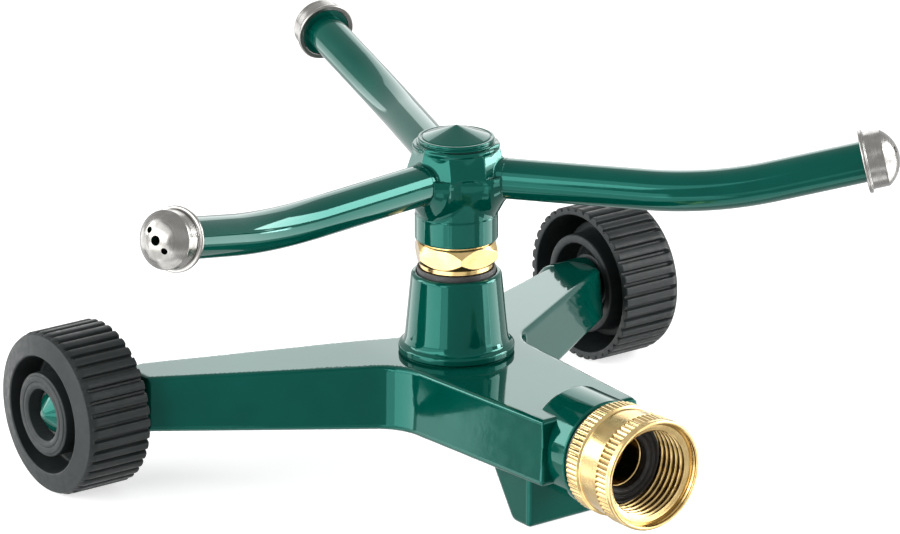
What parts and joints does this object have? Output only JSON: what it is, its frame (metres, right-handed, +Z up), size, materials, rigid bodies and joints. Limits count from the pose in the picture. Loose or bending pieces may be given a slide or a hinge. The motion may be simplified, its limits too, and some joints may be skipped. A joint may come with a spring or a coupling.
{
  "type": "rotary sprinkler",
  "caption": "Rotary lawn sprinkler with bent spinning spray arms on a cast three-legged base, two ribbed wheels and a swivel hose coupling.",
  "frame": {"origin": "on the ground under the middle of the whole footprint, arms included as they stand in the picture", "axes": "+Z up; -Y the way the hose inlet points; X along the wheel axles, +X towards the right wheel seen from behind the inlet"},
  "size_m": [0.2466, 0.2308, 0.1159],
  "materials": {
    "green_enamel": "glossy dark green enamel over cast metal",
    "black_plastic": "moulded black plastic, satin",
    "black_rubber": "soft black sealing rubber",
    "brass": "machined bright brass",
    "stainless": "polished stainless steel sheet",
    "white_nylon": "natural nylon"
  },
  "bodies": {
    "base": {"base_casting": "green_enamel", "bearing_post": "brass", "inlet_gasket": "black_rubber", "inlet_tailpiece": "brass", "left_wheel_washer": "stainless", "lower_thrust_washer": "white_nylon", "post_gasket": "black_rubber", "post_lock_nut": "brass", "post_o_ring": "black_rubber", "right_wheel_washer": "stainless"},
    "head": {"arm_tube_1": "green_enamel", "arm_tube_2": "green_enamel", "arm_tube_3": "green_enamel", "cap_gasket": "black_rubber", "head_cap": "green_enamel", "head_casting": "green_enamel", "nozzle_cap_1": "stainless", "nozzle_cap_2": "stainless", "nozzle_cap_3": "stainless", "nozzle_seal_1": "black_rubber", "nozzle_seal_2": "black_rubber", "nozzle_seal_3": "black_rubber", "nozzle_sleeve_1": "brass", "nozzle_sleeve_2": "brass", "nozzle_sleeve_3": "brass", "upper_thrust_washer": "white_nylon"},
    "left_wheel": {"left_wheel": "black_plastic"},
    "right_wheel": {"right_wheel": "black_plastic"},
    "coupling": {"hose_coupling_nut": "brass", "hose_washer": "black_rubber"}
  },
  "joints": [
    {"name": "head_spin", "type": "hinge", "parent": "base", "child": "head", "pos_m": [0.00835, -0.0144, 0.0822], "axis": [0, 0, 1], "continuous": true},
    {"name": "left_wheel_spin", "type": "hinge", "parent": "base", "child": "left_wheel", "pos_m": [-0.0951, 0.0426, 0.0255], "axis": [1, 0, 0], "continuous": true},
    {"name": "right_wheel_spin", "type": "hinge", "parent": "base", "child": "right_wheel", "pos_m": [0.1118, 0.0426, 0.0255], "axis": [1, 0, 0], "continuous": true},
    {"name": "coupling_spin", "type": "hinge", "parent": "base", "child": "coupling", "pos_m": [0.00835, -0.10185, 0.027], "axis": [0, -1, 0], "continuous": true}
  ]
}
